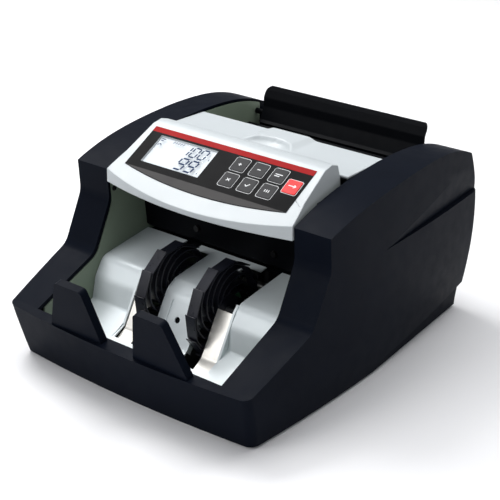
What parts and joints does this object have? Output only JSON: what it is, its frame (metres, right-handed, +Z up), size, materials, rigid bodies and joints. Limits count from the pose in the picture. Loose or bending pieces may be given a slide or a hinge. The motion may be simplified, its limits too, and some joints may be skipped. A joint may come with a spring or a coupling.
{
  "type": "banknote counting machine",
  "caption": "Table-top banknote counter: top hopper, sloped keypad panel with display, silver stacker pocket with finger wheels, dark housing.",
  "frame": {"origin": "centre of the footprint, on the table", "axes": "+X to the right as the user faces the machine, +Y to the back, +Z up"},
  "size_m": [0.2604, 0.3328, 0.1734],
  "materials": {
    "housing": "satin",
    "frame_steel": "matte",
    "base_steel": "matte",
    "silver_plate": "satin",
    "polished_steel": "polished",
    "bright_steel": "brushed",
    "black_plastic": "satin",
    "white_plastic": "gloss",
    "overlay_film": "gloss",
    "display_glass": "clear",
    "display_grey": "matte",
    "key_grey": "satin",
    "key_red": "satin",
    "rubber": "matte",
    "blue_rubber": "matte",
    "board_green": "satin",
    "motor_steel": "satin",
    "violet_glass": "clear",
    "brass": "satin"
  },
  "bodies": {
    "chassis": {"base_plate": "base_steel", "bumpers": "rubber", "circuit_boards": "board_green", "control_panel": "white_plastic", "display_module": "display_grey", "display_window": "display_glass", "exit_chute": "black_plastic", "feed_belt": "rubber", "feed_cover": "white_plastic", "feet": "rubber", "fuse_holder": "black_plastic", "hopper_floor": "black_plastic", "impeller_belt": "rubber", "keypad_overlay": "overlay_film", "left_frame": "frame_steel", "left_stop_plate": "housing", "light_sensors": "black_plastic", "magnetic_head": "bright_steel", "main_housing": "housing", "motor": "motor_steel", "motor_belt": "rubber", "note_guide": "black_plastic", "power_inlet": "black_plastic", "pressure_axle": "bright_steel", "rear_cover": "housing", "retard_bracket": "black_plastic", "retard_pad": "rubber", "right_frame": "frame_steel", "right_stop_plate": "housing", "screws": "bright_steel", "shaft_bearings": "brass", "stacker_plate": "silver_plate", "stacker_strips": "polished_steel", "strip_clips": "polished_steel", "switch_body": "black_plastic", "tie_bars": "bright_steel", "transformer": "motor_steel", "violet_lamp": "violet_glass"},
    "drive_train": {"drive_shaft": "bright_steel", "drive_rollers": "rubber", "drive_pulleys": "black_plastic", "encoder_disc": "black_plastic"},
    "feed_train": {"feed_shaft": "bright_steel", "feed_rollers": "rubber", "feed_pulley": "black_plastic"},
    "impellers": {"impeller_shaft": "bright_steel", "impeller_pulley": "black_plastic", "left_impeller": "blue_rubber", "right_impeller": "blue_rubber"},
    "rotor": {"motor_rotor": "bright_steel"},
    "pinch_rollers": {"pressure_rollers": "rubber"},
    "rear_flap": {"hopper_plate": "black_plastic"},
    "rocker": {"power_rocker": "black_plastic"},
    "plus_key_body": {"plus_key": "key_grey"},
    "minus_key_body": {"minus_key": "key_grey"},
    "mode_key_body": {"mode_key": "key_grey"},
    "clear_key_body": {"clear_key": "key_grey"},
    "detect_key_body": {"detect_key": "key_grey"},
    "batch_key_body": {"batch_key": "key_grey"},
    "restart_key_body": {"restart_key": "key_red"}
  },
  "joints": [
    {"name": "drive_spin", "type": "hinge", "parent": "chassis", "child": "drive_train", "pos_m": [0, 0.02385, 0.092], "axis": [1, 0, 0], "continuous": true},
    {"name": "feed_spin", "type": "hinge", "parent": "chassis", "child": "feed_train", "pos_m": [0, 0.07885, 0.107], "axis": [1, 0, 0], "continuous": true},
    {"name": "impeller_spin", "type": "hinge", "parent": "chassis", "child": "impellers", "pos_m": [0, -0.06315, 0.054], "axis": [1, 0, 0], "continuous": true},
    {"name": "motor_spin", "type": "hinge", "parent": "chassis", "child": "rotor", "pos_m": [0, 0.08685, 0.052], "axis": [1, 0, 0], "continuous": true},
    {"name": "pinch_spin", "type": "hinge", "parent": "chassis", "child": "pinch_rollers", "pos_m": [0, -0.00445, 0.0996], "axis": [1, 0, 0], "continuous": true},
    {"name": "rear_flap_fold", "type": "hinge", "parent": "chassis", "child": "rear_flap", "pos_m": [0, 0.13485, 0.142], "axis": [1, 0, 0], "range_deg": [0, 70]},
    {"name": "rocker_tilt", "type": "hinge", "parent": "chassis", "child": "rocker", "pos_m": [-0.088, 0.16065, 0.086], "axis": [1, 0, 0], "range_deg": [0, 12]},
    {"name": "plus_key_press", "type": "slide", "parent": "chassis", "child": "plus_key_body", "axis": [0, 0.4757, -0.8796], "range_m": [0, 0.0005], "stiffness_N_per_m": 400},
    {"name": "minus_key_press", "type": "slide", "parent": "chassis", "child": "minus_key_body", "axis": [0, 0.4757, -0.8796], "range_m": [0, 0.0005], "stiffness_N_per_m": 400},
    {"name": "mode_key_press", "type": "slide", "parent": "chassis", "child": "mode_key_body", "axis": [0, 0.4757, -0.8796], "range_m": [0, 0.0005], "stiffness_N_per_m": 400},
    {"name": "clear_key_press", "type": "slide", "parent": "chassis", "child": "clear_key_body", "axis": [0, 0.4757, -0.8796], "range_m": [0, 0.0005], "stiffness_N_per_m": 400},
    {"name": "detect_key_press", "type": "slide", "parent": "chassis", "child": "detect_key_body", "axis": [0, 0.4757, -0.8796], "range_m": [0, 0.0005], "stiffness_N_per_m": 400},
    {"name": "batch_key_press", "type": "slide", "parent": "chassis", "child": "batch_key_body", "axis": [0, 0.4757, -0.8796], "range_m": [0, 0.0005], "stiffness_N_per_m": 400},
    {"name": "restart_key_press", "type": "slide", "parent": "chassis", "child": "restart_key_body", "axis": [0, 0.4757, -0.8796], "range_m": [0, 0.0005], "stiffness_N_per_m": 400}
  ],
  "couplings": [
    {"joint": "feed_spin", "follows": "drive_spin", "ratio": 0.71429},
    {"joint": "impeller_spin", "follows": "drive_spin", "ratio": 0.5},
    {"joint": "motor_spin", "follows": "drive_spin", "ratio": 2},
    {"joint": "pinch_spin", "follows": "drive_spin", "ratio": -2.2222}
  ]
}
